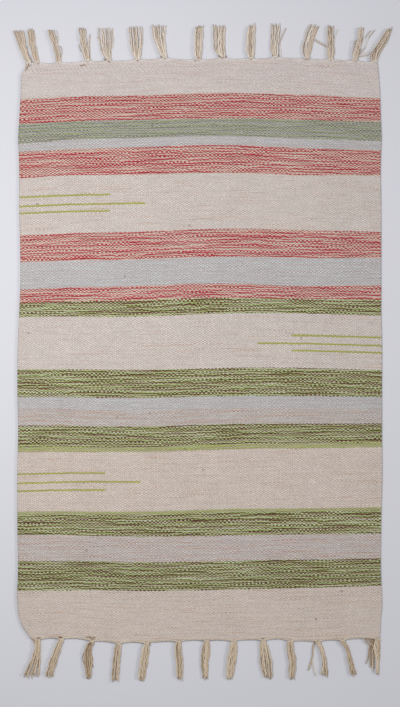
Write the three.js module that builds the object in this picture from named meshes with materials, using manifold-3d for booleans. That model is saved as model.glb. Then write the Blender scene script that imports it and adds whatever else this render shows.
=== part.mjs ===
// Kilim rug: one flat-woven cotton cloth with knotted tassels along both ends, lying flat.
// Millimetres, +Z up. +X runs across the cloth and +Y along its length, towards the far end.
// The origin is the middle of the cloth's underside.

import * as THREE from 'three';
import { mergeVertices } from 'three/addons/utils/BufferGeometryUtils.js';
import Module from 'manifold-3d';

const wasm = await Module();
wasm.setup();

// Driving dimensions of the cloth
const CLOTH_WIDTH = 933;
const CLOTH_LENGTH = 1487;
const CLOTH_THICKNESS = 5;
const EDGE_ROUNDING = 1.6;

// How finely the cloth is divided, and how much more finely near its ends
const STEPS_ACROSS = 30;
const STEPS_ALONG = 40;
const END_CROWDING = 0.45;

// How far each selvedge is drawn in: place along the length, near the left edge, near the right edge
const SIDE_SECTIONS = [
  [-744, 40, 6],
  [-741, 37, 5],
  [-721, 22, 5],
  [-700, 9, 4],
  [-669, 2, 2],
  [-587, -1, 0],
  [-434, -1, 1],
  [-280, -1, 0],
  [-178, 1, -2],
  [-75, -1, 0],
  [27, 1, 0],
  [129, -1, 2],
  [206, 6, 2],
  [283, 6, -2],
  [411, 4, 3],
  [488, -3, 2],
  [539, 1, 2],
  [641, 4, 5],
  [703, 9, 8],
  [728, 15, 10],
  [744, 20, 14],
];

// How far each end is drawn in: place across the width, at the near end, at the far end
const END_SECTIONS = [
  [-467, 6, 13],
  [-437, 5, 10],
  [-360, 8, 10],
  [-286, 4, 5],
  [-230, -3, 4],
  [-163, -3, 2],
  [-127, -3, 0],
  [-89, -1, -2],
  [-20, 2, 2],
  [54, 2, -2],
  [129, 3, -1],
  [193, 5, -4],
  [269, 0, -2],
  [333, 2, 1],
  [397, 6, 4],
  [467, 8, 9],
];

// Low waves of the upper face: height, wave length across, wave length along, start of the wave
const WAVES = [
  [0.35, 410, 620, 0.4],
  [0.22, 150, 230, 1.9],
  [0.16, 87, 141, 0.7],
];
// Cockle between the tassels, which fades out away from each end
const COCKLE_HEIGHT = 0.5;
const COCKLE_LENGTH = 72;
const COCKLE_FADE = 45;

// Driving dimensions of the tassels
const GAP = 0.3;
const KNOT_SIDES = 8;
const KNOT_FLATTEN = 0.62;
const KNOT_RINGS = [
  { along: 0, radius: 3.4 },
  { along: 4, radius: 6.6 },
  { along: 9, radius: 6.6 },
  { along: 13, radius: 4.6 },
];
const KNOT_HALF_WIDTH = 4;
const ROOT_START = 7;
const ROOT_END = 24;
const ROOT_HALF_WIDTH = 4;
const ROOT_THICKNESS = 1.7;
const STRAND_SIDES = 3;
const STRAND_RADIUS = 1;
const STRAND_PITCH = 2.12;
const STRAND_OVERLAP = 1.5;
const STRAND_STEPS = 2;
const RAGGEDNESS = 3;

// Tassels at the far end: place across, lean, width at the tips, bow, strands, stray of the last
// strand, length. A lean, bow or stray to the right is positive.
const FAR_TASSELS = [
  [-440, -26, 27, 0, 9, 0, 90],
  [-419, -14, 21, 0, 8, 0, 88],
  [-360, -18, 28, 4, 11, 3, 90],
  [-289, -13, 21, 0, 9, 8, 88],
  [-231, -14, 33, 0, 12, 9, 86],
  [-158, -7, 32, 0, 12, 0, 90],
  [-90, -15, 31, -3, 12, 0, 88],
  [-15, 12, 24, 4, 10, 0, 91],
  [60, -10, 32, 0, 12, 0, 89],
  [129, 0, 22, -3, 10, 0, 90],
  [194, -2, 24, -3, 11, 8, 88],
  [272, 13, 30, -7, 12, 0, 87],
  [335, -1, 20, 0, 9, 7, 90],
  [397, 3, 20, -3, 9, 18, 89],
  [447, 36, 18, 0, 8, 0, 77],
];

// Tassels at the near end, in the same columns
const NEAR_TASSELS = [
  [-414, -20, 40, 0, 13, 0, 100],
  [-354, -30, 20, 0, 9, 0, 99],
  [-278, -8, 19, -9, 9, 0, 101],
  [-207, -10, 19, 2, 9, 0, 100],
  [-138, -11, 21, 5, 10, 0, 102],
  [-56, 4, 19, 0, 9, 0, 99],
  [20, -5, 18, -7, 9, 0, 101],
  [87, -10, 21, 0, 10, 0, 100],
  [162, 9, 26, -4, 12, 0, 98],
  [231, 3, 18, 0, 9, 0, 100],
  [300, 18, 20, 0, 9, 0, 90],
  [363, 33, 17, 0, 8, 0, 95],
  [445, 2, 27, 0, 12, 0, 92],
];

const CLOTH_COLOUR = 0xd3c8c1;
const YARN_COLOUR = 0xc4b59b;

// Smooth lines through the rows of a table, read at any place
function linesThrough(rows) {
  const places = rows.map((row) => row[0]);
  const values = rows.flatMap((row) => row.slice(1));
  return new THREE.CubicInterpolant(places, values, rows[0].length - 1);
}

const sideLines = linesThrough(SIDE_SECTIONS);
const endLines = linesThrough(END_SECTIONS);

// X at a share of the width, for a place along the length
function acrossAt(share, along) {
  const [left, right] = sideLines.evaluate(along);
  return THREE.MathUtils.lerp(left - CLOTH_WIDTH / 2, CLOTH_WIDTH / 2 - right, share);
}

// Y of the cloth's near end and far end at one X
function endsAt(across) {
  const [near, far] = endLines.evaluate(across);
  return { near: near - CLOTH_LENGTH / 2, far: CLOTH_LENGTH / 2 - far };
}

// A point of the cloth's outline and inside, from its shares of the width and length
function clothPoint(shareAcross, shareAlong) {
  const along = (shareAlong - 0.5) * CLOTH_LENGTH;
  const near = endsAt(acrossAt(shareAcross, -CLOTH_LENGTH / 2)).near;
  const far = endsAt(acrossAt(shareAcross, CLOTH_LENGTH / 2)).far;
  return new THREE.Vector2(acrossAt(shareAcross, along), THREE.MathUtils.lerp(near, far, shareAlong));
}

// Height of the upper face above its mean
function waveHeight({ x, y }) {
  let height = 0;
  for (const [size, lengthAcross, lengthAlong, start] of WAVES) {
    const turns = x / lengthAcross + start;
    height += size * Math.sin(2 * Math.PI * turns) * Math.cos((2 * Math.PI * y) / lengthAlong);
  }
  const fromEnd = CLOTH_LENGTH / 2 - Math.abs(y);
  const cockle = Math.cos((2 * Math.PI * x) / COCKLE_LENGTH) * Math.exp(-fromEnd / COCKLE_FADE);
  return height + COCKLE_HEIGHT * cockle;
}

// The cloth: a plate whose middle layer bulges out to the outline, with a level underside
function clothGeometry() {
  const geometry = new THREE.BoxGeometry(1, 1, 1, STEPS_ACROSS, STEPS_ALONG, 2);
  const points = geometry.attributes.position;
  for (let i = 0; i < points.count; i += 1) {
    const shareAcross = points.getX(i) + 0.5;
    const evenShare = points.getY(i) + 0.5;
    const shareAlong = evenShare - (END_CROWDING * Math.sin(2 * Math.PI * evenShare)) / (2 * Math.PI);
    const layer = Math.round(2 * points.getZ(i));
    const point = clothPoint(shareAcross, shareAlong);
    const drawnIn = layer === 0 ? 0 : EDGE_ROUNDING;
    const top = CLOTH_THICKNESS + waveHeight(point);
    const heights = { [-1]: 0, 0: CLOTH_THICKNESS / 2, 1: top };
    const x = point.x + drawnIn * (1 - 2 * shareAcross);
    const y = point.y + drawnIn * (1 - 2 * shareAlong);
    points.setXYZ(i, x, y, heights[layer]);
  }
  return welded(geometry);
}

// The same shape with its shared corners merged
function welded(geometry) {
  geometry.deleteAttribute('normal');
  geometry.deleteAttribute('uv');
  return mergeVertices(geometry);
}

// A tube along +Y with flat ends, from rings of a radius, a sideways shift and a place along
function tubeGeometry(sides, rings, turn) {
  const steps = rings.length - 1;
  const geometry = new THREE.CylinderGeometry(1, 1, 1, sides, steps, false, turn);
  const points = geometry.attributes.position;
  for (let i = 0; i < points.count; i += 1) {
    const ring = rings[Math.round((points.getY(i) + 0.5) * steps)];
    const x = points.getX(i) * ring.radius + (ring.shift ?? 0);
    points.setXYZ(i, x, ring.along, points.getZ(i) * ring.radius);
  }
  return geometry;
}

// The knot lies on one flat side
function knotGeometry() {
  const geometry = tubeGeometry(KNOT_SIDES, KNOT_RINGS, Math.PI / KNOT_SIDES);
  geometry.scale(1, 1, KNOT_FLATTEN);
  geometry.computeBoundingBox();
  return geometry.translate(0, 0, -geometry.boundingBox.min.z);
}

// The fused roots of the strands: a low plate that widens from the knot to the strands
function rootGeometry(endHalfWidth) {
  const outline = new THREE.Shape([
    new THREE.Vector2(-ROOT_HALF_WIDTH, ROOT_START),
    new THREE.Vector2(ROOT_HALF_WIDTH, ROOT_START),
    new THREE.Vector2(endHalfWidth, ROOT_END),
    new THREE.Vector2(-endHalfWidth, ROOT_END),
  ]);
  return new THREE.ExtrudeGeometry(outline, { depth: ROOT_THICKNESS, bevelEnabled: false });
}

// One strand, three-sided and level on its flat side, from its root to its tip
function strandGeometry(start, tip, bow, length) {
  const first = ROOT_END - STRAND_OVERLAP;
  const rings = [];
  for (let i = 0; i <= STRAND_STEPS; i += 1) {
    const share = i / STRAND_STEPS;
    const bend = 4 * share * (1 - share) * bow;
    rings.push({
      along: THREE.MathUtils.lerp(first, length, share),
      shift: THREE.MathUtils.lerp(start, tip, share) + bend,
      radius: STRAND_RADIUS,
    });
  }
  const geometry = tubeGeometry(STRAND_SIDES, rings, 0);
  return geometry.translate(0, 0, STRAND_RADIUS / 2);
}

function solidOf(geometry) {
  const shape = welded(geometry);
  const mesh = new wasm.Mesh({
    numProp: 3,
    vertProperties: new Float32Array(shape.attributes.position.array),
    triVerts: new Uint32Array(shape.index.array),
  });
  return new wasm.Manifold(mesh);
}

// Joins overlapping shapes into one closed shape
function joined(geometries) {
  const solid = geometries.map(solidOf).reduce((whole, next) => whole.add(next));
  const mesh = solid.getMesh();
  const geometry = new THREE.BufferGeometry();
  geometry.setAttribute('position', new THREE.BufferAttribute(mesh.vertProperties, 3));
  geometry.setIndex(new THREE.BufferAttribute(mesh.triVerts, 1));
  return geometry;
}

// A tassel along +Y: its knot, the fused roots and a fan of strands with ragged tips
function tasselGeometry({ lean, spread, bow, strands, stray, length }) {
  const rootSpread = (strands - 1) * STRAND_PITCH;
  const tipSpread = Math.max(spread, rootSpread);
  const shapes = [knotGeometry(), rootGeometry(rootSpread / 2 + STRAND_RADIUS)];
  for (let i = 0; i < strands; i += 1) {
    const share = i / (strands - 1) - 0.5;
    const strayed = share * Math.sign(stray) === 0.5 ? stray : 0;
    const cut = RAGGEDNESS * Math.sin(2.4 * i + spread);
    const tip = lean + share * tipSpread + strayed;
    shapes.push(strandGeometry(share * rootSpread, tip, bow, length + cut));
  }
  return joined(shapes);
}

// The outermost Y of one end of the cloth near an X, read on its faceted edge
function edgeNear(across, end) {
  const side = end === 'far' ? 1 : -1;
  const corners = [];
  for (let i = 0; i <= STEPS_ACROSS; i += 1) {
    corners.push(clothPoint(i / STEPS_ACROSS, end === 'far' ? 1 : 0));
  }
  const places = corners.map((corner) => corner.x);
  const line = new THREE.LinearInterpolant(places, corners.map((corner) => corner.y), 1);
  const nearKnot = corners.filter((corner) => Math.abs(corner.x - across) < KNOT_HALF_WIDTH);
  const heights = nearKnot.map((corner) => corner.y);
  for (const x of [across - KNOT_HALF_WIDTH, across, across + KNOT_HALF_WIDTH]) {
    heights.push(line.evaluate(x)[0]);
  }
  return side * Math.max(...heights.map((y) => side * y));
}

function fabric(colour) {
  return new THREE.MeshStandardMaterial({ color: colour, roughness: 0.95, metalness: 0 });
}

function clothMesh() {
  const mesh = new THREE.Mesh(clothGeometry(), fabric(CLOTH_COLOUR));
  mesh.name = 'cloth';
  return mesh;
}

// Near tassels point towards -Y, so they are turned by half a turn about the vertical
function tasselMeshes(rows, end) {
  const side = end === 'far' ? 1 : -1;
  return rows.map(([across, lean, spread, bow, strands, stray, length], index) => {
    const shape = { lean: side * lean, spread, bow: side * bow, strands, stray: side * stray, length };
    const mesh = new THREE.Mesh(tasselGeometry(shape), fabric(YARN_COLOUR));
    mesh.name = `${end}_tassel_${String(index + 1).padStart(2, '0')}`;
    mesh.position.set(across, edgeNear(across, end) + side * GAP, 0);
    mesh.rotation.z = end === 'far' ? 0 : Math.PI;
    return mesh;
  });
}

const group = new THREE.Group();
group.add(clothMesh());
group.add(...tasselMeshes(FAR_TASSELS, 'far'));
group.add(...tasselMeshes(NEAR_TASSELS, 'near'));

export default group;
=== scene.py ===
import math
import bpy
import numpy as np
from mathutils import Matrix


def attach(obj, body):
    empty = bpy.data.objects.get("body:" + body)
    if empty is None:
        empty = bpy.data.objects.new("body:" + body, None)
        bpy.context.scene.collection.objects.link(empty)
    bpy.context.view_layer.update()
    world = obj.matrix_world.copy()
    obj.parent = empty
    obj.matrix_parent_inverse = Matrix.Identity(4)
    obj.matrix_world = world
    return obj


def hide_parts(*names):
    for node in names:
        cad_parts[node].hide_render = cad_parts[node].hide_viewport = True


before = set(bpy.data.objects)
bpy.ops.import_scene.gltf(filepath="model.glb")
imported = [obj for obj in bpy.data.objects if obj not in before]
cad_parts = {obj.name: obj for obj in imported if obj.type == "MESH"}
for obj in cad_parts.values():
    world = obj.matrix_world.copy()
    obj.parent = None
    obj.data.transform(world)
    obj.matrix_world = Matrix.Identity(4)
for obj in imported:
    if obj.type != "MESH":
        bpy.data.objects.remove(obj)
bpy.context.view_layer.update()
bpy.ops.object.select_all(action="DESELECT")

MM = 0.001

# The cloth, as a weaver would note it, in millimetres
CLOTH_WIDTH = 933
CLOTH_LENGTH = 1487
CLOTH_THICKNESS = 5
WARPS = 188

# How far each selvedge is drawn in: place along the length, near the left edge, near the right edge
SIDE_SECTIONS = [
    (-744, 38, 6),
    (-728, 28, 6),
    (-713, 17, 5),
    (-700, 10, 4),
    (-685, 5, 4),
    (-660, 1, 1),
    (-628, -1, 1),
    (-588, 1, 3),
    (-440, 0, 3),
    (-306, 0, 0),
    (-216, 2, 1),
    (-101, 0, 1),
    (14, 1, 1),
    (104, 5, 3),
    (150, 7, 3),
    (270, 7, 3),
    (347, 5, 3),
    (493, 4, 4),
    (541, 2, 2),
    (595, 5, 4),
    (677, 9, 7),
    (703, 10, 9),
    (713, 14, 10),
    (722, 24, 11),
    (732, 36, 12),
    (744, 44, 14),
]

# How far each end is drawn in: place across the width, at the near end, at the far end
END_SECTIONS = [
    (-467, 7, 13),
    (-437, 6, 10),
    (-360, 9, 10),
    (-286, 5, 5),
    (-230, -2, 4),
    (-163, -2, 2),
    (-127, -2, 0),
    (-89, 0, -2),
    (-20, 3, 2),
    (54, 3, -2),
    (129, 4, -1),
    (193, 6, -4),
    (269, 1, -2),
    (333, 3, 1),
    (397, 7, 4),
    (467, 9, 9),
]

# Low waves of the upper face: height, wave length across, wave length along, start of the wave
WAVES = [
    (0.35, 410, 620, 0.4),
    (0.22, 150, 230, 1.9),
    (0.16, 87, 141, 0.7),
]
COCKLE_HEIGHT = 0.5
COCKLE_LENGTH = 72
COCKLE_FADE = 45

# The wefts in the order of their numbers. Each is four strands laid side by side: their colours,
# how much of the pick the first strand takes, and how far that swings from place to place
WEFTS = [
    ("cream", (176, 134, 106), (206, 196, 190), (199, 189, 183), (193, 181, 174), 0.0, 1.1),
    ("cool_cream", (178, 140, 118), (205, 194, 190), (199, 189, 185), (193, 181, 177), 0.0, 1.1),
    ("warm_cream", (178, 134, 100), (208, 196, 186), (201, 188, 179), (193, 178, 168), 0.0, 1.1),
    ("red", (153, 20, 38), (200, 121, 121), (197, 187, 171), (187, 174, 159), 0.35, 1.0),
    ("sage", (112, 102, 112), (148, 167, 98), (162, 154, 163), (160, 158, 140), 0.26, 1.1),
    ("pale_blue", (173, 161, 160), (185, 188, 190), (182, 180, 180), (179, 172, 169), 0.20, 0.9),
    ("green", (76, 32, 38), (151, 177, 96), (190, 187, 173), (142, 122, 84), 0.32, 1.15),
    ("lime", (140, 127, 86), (166, 178, 96), (160, 166, 114), (178, 171, 154), 0.25, 0.6),
    ("dusty_pink", (180, 136, 113), (187, 189, 190), (186, 174, 166), (173, 171, 169), 0.18, 1.0),
    ("grey_pink", (182, 138, 116), (186, 188, 191), (192, 180, 170), (182, 175, 173), 0.20, 1.0),
    ("line", (146, 138, 70), (168, 172, 74), (160, 160, 80), (166, 162, 100), 0.25, 0.4),
]
WEFT_NUMBER = {weft[0]: number for number, weft in enumerate(WEFTS)}
WEFT_STOPS = 16

# Bands from the far end to the near end: weft, height at the left selvedge, number of picks
BANDS = [
    ("cool_cream", 89.5, 31),
    ("red", 64, 21),
    ("sage", 47.2, 15),
    ("pale_blue", 23.8, 7),
    ("red", 67, 21),
    ("cream", 146.5, 50),
    ("red", 70, 22),
    ("pale_blue", 70, 20),
    ("red", 33, 11),
    ("green", 37, 12),
    ("cream", 134.5, 47),
    ("green", 70, 22),
    ("pale_blue", 31, 10),
    ("dusty_pink", 42, 13),
    ("green", 55, 17),
    ("lime", 12.5, 4),
    ("warm_cream", 153, 53),
    ("lime", 8, 3),
    ("green", 52.5, 16),
    ("grey_pink", 67, 20),
    ("green", 77, 24),
    ("warm_cream", 119, 41),
]

# Wefts that turn back before the other selvedge, two picks each: weft, band they lie in, place
# from the band's far side, side they start from, length
SHORT_WEFTS = [
    ("sage", 3, 0, "left", 87),
    ("line", 5, 51, "left", 242),
    ("line", 5, 74, "left", 324),
    ("line", 5, 90, "left", 236),
    ("line", 10, 54, "right", 231),
    ("line", 10, 74, "right", 314),
    ("line", 10, 92, "right", 231),
    ("line", 16, 58, "left", 227),
    ("line", 16, 80, "left", 316),
    ("line", 16, 100, "left", 229),
]

# How far the picks rise above their place at the left selvedge: place along, then the rise at a
# quarter, the middle, three quarters and the right selvedge
PICK_RISE = [
    (-615, 2, 3, 8, 15),
    (-542, -1, -1, 4, 8),
    (-474, -3, -2, 2, 4),
    (-414, 0, 5, 8, 11),
    (-339, 4, 5, 7, 11),
    (-247, -1, 4, 9, 12),
    (-151, -3, 1, 2, 1),
    (-51, 0, 3, 5, -1),
    (87, 1, 8, 10, 4),
    (154, 8, 16, 10, 12),
    (226, 6, 14, 12, 12),
    (294, 7, 16, 14, 9),
    (442, 8, 12, 9, 5),
    (508, 10, 18, 11, 4),
    (577, 10, 14, 12, 6),
    (642, 9, 15, 12, 3),
]
RISE_STATIONS = (-467, -230, 13, 244, 467)

# A slight sway that all picks share: place across, rise
PICK_SWAY = [
    (-467, 0), (-332, 1.2), (-230, 0), (-115, -1.3), (13, 0), (116, 0.9), (244, 0), (467, 0),
]


def smooth_line(places, values, at):
    """Values read at places along a smooth line through given points."""
    places, values = np.asarray(places, float), np.asarray(values, float)
    slopes = np.gradient(values, places)
    i = np.clip(np.searchsorted(places, at) - 1, 0, len(places) - 2)
    width = places[i + 1] - places[i]
    t = np.clip((at - places[i]) / width, 0, 1)
    start = (1 + 2 * t) * (1 - t) ** 2 * values[i] + t * (1 - t) ** 2 * width * slopes[i]
    end = t * t * (3 - 2 * t) * values[i + 1] + t * t * (t - 1) * width * slopes[i + 1]
    return start + end


def column(rows, number):
    """One column of a table."""
    return [row[number] for row in rows]


def side_x(share, along):
    """X at a share of the width, for a place along the length."""
    left = smooth_line(column(SIDE_SECTIONS, 0), column(SIDE_SECTIONS, 1), along)
    right = smooth_line(column(SIDE_SECTIONS, 0), column(SIDE_SECTIONS, 2), along)
    return (1 - share) * (left - CLOTH_WIDTH / 2) + share * (CLOTH_WIDTH / 2 - right)


def near_end_y(across):
    """Y of the cloth's near edge."""
    drawn_in = smooth_line(column(END_SECTIONS, 0), column(END_SECTIONS, 1), across)
    return drawn_in - CLOTH_LENGTH / 2


def far_end_y(across):
    """Y of the cloth's far edge."""
    drawn_in = smooth_line(column(END_SECTIONS, 0), column(END_SECTIONS, 2), across)
    return CLOTH_LENGTH / 2 - drawn_in


def wave_height(x, y):
    """Height of the upper face above its mean."""
    height = np.zeros_like(x)
    for size, length_across, length_along, start in WAVES:
        turns = x / length_across + start
        height += size * np.sin(2 * np.pi * turns) * np.cos(2 * np.pi * y / length_along)
    from_end = np.clip(CLOTH_LENGTH / 2 - np.abs(y), 0, None)
    cockle = np.cos(2 * np.pi * x / COCKLE_LENGTH) * np.exp(-from_end / COCKLE_FADE)
    return height + COCKLE_HEIGHT * cockle


# The order of the picks, counted from the near end
pick_weft = []
pick_edge = [0.0]
band_start = {}
for number in reversed(range(len(BANDS))):
    weft, height, picks = BANDS[number]
    band_start[number] = len(pick_weft)
    for _ in range(picks):
        pick_weft.append(WEFT_NUMBER[weft])
        pick_edge.append(pick_edge[-1] + height / picks)
PICKS = len(pick_weft)
LEFT_EDGE = float(END_SECTIONS[0][0])
near_left, far_left = float(near_end_y(LEFT_EDGE)), float(far_end_y(LEFT_EDGE))
pick_edge = near_left + np.array(pick_edge) * (far_left - near_left) / pick_edge[-1]

# Which weft shows in each pick at each pair of warps
woven = np.repeat(np.array(pick_weft)[:, None], WARPS // 2, axis=1)
for weft, band, from_top, side, length in SHORT_WEFTS:
    _, height, picks = BANDS[band]
    pick = band_start[band] + round(picks * (1 - from_top / height))
    pairs = round(length / CLOTH_WIDTH * WARPS / 2)
    where = slice(0, pairs) if side == "left" else slice(WARPS // 2 - pairs, None)
    woven[pick - 1:pick + 1, where] = WEFT_NUMBER[weft]


def pick_y(x, line):
    """Y of pick lines at given X, both as arrays of one shape."""
    along = np.interp(line, np.arange(PICKS + 1), pick_edge)
    stations = np.array(RISE_STATIONS, float)
    sway = smooth_line(column(PICK_SWAY, 0), column(PICK_SWAY, 1), x)
    rises = [near_end_y(x) - near_left]
    for row in PICK_RISE:
        rises.append(sway + smooth_line(stations, (0,) + row[1:], x))
    rises.append(far_end_y(x) - far_left)
    rises = np.array(rises)
    places = np.array([near_left] + column(PICK_RISE, 0) + [far_left], float)
    i = np.clip(np.searchsorted(places, along) - 1, 0, len(places) - 2)
    t = (along - places[i]) / (places[i + 1] - places[i])
    t = t * t * (3 - 2 * t)
    grid = tuple(np.indices(x.shape))
    return along + (1 - t) * rises[(i,) + grid] + t * rises[(i + 1,) + grid]


def make_object(name, vertices, faces):
    """A smooth-shaded mesh in the scene, from points in millimetres."""
    mesh = bpy.data.meshes.new(name)
    mesh.from_pydata((vertices * MM).tolist(), [], faces)
    mesh.shade_smooth()
    piece = bpy.data.objects.new(name, mesh)
    bpy.context.collection.objects.link(piece)
    return piece


# Uneven crowding of the warps, and waver of the picks: size, wave length, direction in turns,
# start of the wave
CROWDING = [
    (1.1, 67, 0.03, 0.1),
    (0.7, 37, 0.95, 0.6),
    (0.4, 23, 0.04, 0.4),
]
WAVER = [
    (0.22, 56, 0.04, 0.4),
    (0.14, 32, 0.17, 0.9),
    (0.16, 41, 0.33, 0.2),
    (0.10, 22, 0.46, 0.6),
]
WAVER_FADE = 15

# The cloth's mesh: beads of weft, loops at the selvedges, and a rim of two rows and columns whose
# first step is a share of a pick or a warp
BEAD_HEIGHT = 0.35
LOOP_DEPTH = 0.5
RIM = 2
SIDE_STEP = 0.14
END_STEP = 0.25
PICK_PITCH = 3.0
EDGE_RISE = 3.0
PLACING_ROUNDS = 2

# The cream at the two ends is beaten flatter: where that begins and is full, and how much is left
FAR_CALM = (648, 660)
NEAR_CALM = (-655, -615)
CALM = 0.55

# The warps at which the flat back has its columns
BACK_COLUMNS = (0.5, 24.5, 46.5, 64.5, 84.5, 104.5, 124.5, 141.5, 164.5, WARPS - 0.5)


def uneven(waves, x, y):
    """A sum of straight waves."""
    total = np.zeros_like(x)
    for size, length, direction, start in waves:
        angle = 2 * np.pi * direction
        ahead = x * np.cos(angle) + y * np.sin(angle)
        total += size * np.sin(2 * np.pi * (ahead / length + start))
    return total


def cloth_point(warp, line):
    """Place in the plane for a warp number and a pick line."""
    share = warp / WARPS
    x = (share - 0.5) * CLOTH_WIDTH
    for _ in range(PLACING_ROUNDS):
        y = pick_y(x, line)
        x = side_x(share, y)
    from_side = np.minimum(share, 1 - share) * CLOTH_WIDTH
    from_end = np.minimum(line, PICKS - line) / PICKS * CLOTH_LENGTH
    aside = uneven(CROWDING, x, y) * np.clip(from_side / WAVER_FADE, 0, 1)
    ahead = uneven(WAVER, x, y) * np.clip(np.minimum(from_side, from_end) / WAVER_FADE, 0, 1)
    return x + aside, y + ahead


def quads(grid, turned=False):
    """Four-sided faces of a grid of vertex numbers."""
    a, b, c, d = grid[:-1, :-1], grid[:-1, 1:], grid[1:, 1:], grid[1:, :-1]
    order = (a, d, c, b) if turned else (a, b, c, d)
    return np.stack([corner.ravel() for corner in order], axis=1).tolist()


def cloth_top():
    """The upper face: warp number and pick line of each of its points, and their places."""
    warps = np.concatenate(([0, SIDE_STEP], np.arange(WARPS) + 0.5, [WARPS - SIDE_STEP, WARPS]))
    lines = np.concatenate(([0, END_STEP], np.arange(1, PICKS), [PICKS - END_STEP, PICKS]))
    warp, line = np.meshgrid(warps, lines)
    x, y = cloth_point(warp, line)
    from_side = np.minimum(warp, WARPS - warp) * CLOTH_WIDTH / WARPS
    from_end = np.minimum(line, PICKS - line) * PICK_PITCH
    inward = np.minimum(from_side, from_end)
    half = CLOTH_THICKNESS / 2
    crown = half * np.sqrt(np.clip(1 - (1 - np.clip(inward / half, 0, 1)) ** 2, 0, 1))
    beads = np.where((np.floor(warp) + np.round(line)) % 2 == 1, BEAD_HEIGHT, -BEAD_HEIGHT)
    beads = beads * np.interp(y, NEAR_CALM + FAR_CALM, (CALM, 1, 1, CALM))
    swell = (wave_height(x, y) + beads) * np.clip(inward / EDGE_RISE, 0, 1)
    side = np.where(warp < 1, -1, np.where(warp > WARPS - 1, 1, 0)) * np.where(from_side < 1, 1, 0)
    x = x + side * LOOP_DEPTH * np.sin(np.pi * line / 2) ** 2
    return warp, line, np.stack([x, y, half + crown + swell], axis=-1)


def end_faces(index, end, inner, back_at, far):
    """Faces from the rim of one end to the flat back, which starts with the row called end."""
    edge, along = (-1, -1) if far else (0, 1)
    columns = len(end)
    faces = []
    for c in range(RIM, columns - 1 - RIM):
        faces.append([index[edge, c], index[edge, c + 1], end[c + 1], end[c]])
    for k in range(len(back_at) - 1):
        outer = end[back_at[k]:back_at[k + 1] + 1].tolist()
        faces.append(outer + [inner[k + 1], inner[k]])
    if not far:
        faces = [face[::-1] for face in faces]
    for c, step in ((0, 1), (columns - 1, -1)):
        face = [index[edge, c], index[edge, c + step], index[edge, c + RIM * step],
                end[c + RIM * step], index[edge + RIM * along, c], index[edge + along, c]]
        faces.append(face[::-1] if (step > 0) == far else face)
    return faces


def map_weave(mesh, faces, thread):
    """Two maps for the weave: warp and pick line, and the wefts of this pick and the one before."""
    corners = np.empty(len(mesh.loops), dtype=np.int32)
    mesh.loops.foreach_get("vertex_index", corners)
    weave_map = mesh.uv_layers.new(name="weave")
    draft_map = mesh.uv_layers.new(name="draft")
    weave_map.uv.foreach_set("vector", (thread[corners] / (WARPS, PICKS)).ravel())
    draft = np.empty((len(corners), 2))
    start = 0
    for face in faces:
        line = int(thread[face, 1].min())
        pair = min(int((thread[face, 0].mean() + 0.5) // 2), WARPS // 2 - 1)
        draft[start:start + len(face)] = woven[line, pair], woven[max(line - 1, 0), pair]
        start += len(face)
    draft_map.uv.foreach_set("vector", ((draft + 0.5) / WEFT_STOPS).ravel())


def make_cloth():
    """The woven panel: a bead of weft for each warp and pick, rounded edges and a flat back."""
    warp, line, top = cloth_top()
    thread = np.stack([warp, line], axis=-1)
    flat = top * (1, 1, 0)
    rows, columns = warp.shape
    back_at = np.searchsorted(warp[0], BACK_COLUMNS)
    first, last = RIM, rows - 1 - RIM

    # The back: whole rows along the two ends, and between them a few wide columns
    points = [top, flat[first], flat[last], flat[:, back_at]]
    points = np.concatenate([part.reshape(-1, 3) for part in points])
    threads = [thread, thread[first], thread[last], thread[:, back_at]]
    threads = np.concatenate([part.reshape(-1, 2) for part in threads])
    index = np.arange(rows * columns).reshape(rows, columns)
    near_end = index.size + np.arange(columns)
    far_end = near_end + columns
    back = index.size + 2 * columns + np.arange(rows * len(back_at)).reshape(rows, -1)
    back[first], back[last] = near_end[back_at], far_end[back_at]

    faces = quads(index) + quads(back[first + 1:last], turned=True)
    faces += end_faces(index, near_end, back[first + 1], back_at, False)
    faces += end_faces(index, far_end, back[last - 1], back_at, True)
    for row in range(first, last):
        faces.append([index[row + 1, 0], back[row + 1, 0], back[row, 0], index[row, 0]])
        faces.append([index[row, -1], back[row, -1], back[row + 1, -1], index[row + 1, -1]])

    used = np.unique(np.concatenate(faces))
    renumbered = np.zeros(len(points), dtype=int)
    renumbered[used] = np.arange(len(used))
    faces = [renumbered[face].tolist() for face in faces]
    piece = make_object("woven_cloth", points[used], faces)
    map_weave(piece.data, faces, threads[used])
    return piece


def linear(colour):
    """A colour given as on a screen, as light."""
    values = [value / 255 for value in colour]
    return [v / 12.92 if v <= 0.04045 else ((v + 0.055) / 1.055) ** 2.4 for v in values] + [1]


SHEEN_ROUGHNESS = 0.6
SPECULAR = 0.2

# Sockets of a node that mixes two colours
MIX_INPUTS = (0, 6, 7)
MIX_OUTPUT = 2

# The undyed cotton's tint at the two ends
FAR_TINT = (255, 253, 255)
NEAR_TINT = (250, 243, 233)


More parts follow.
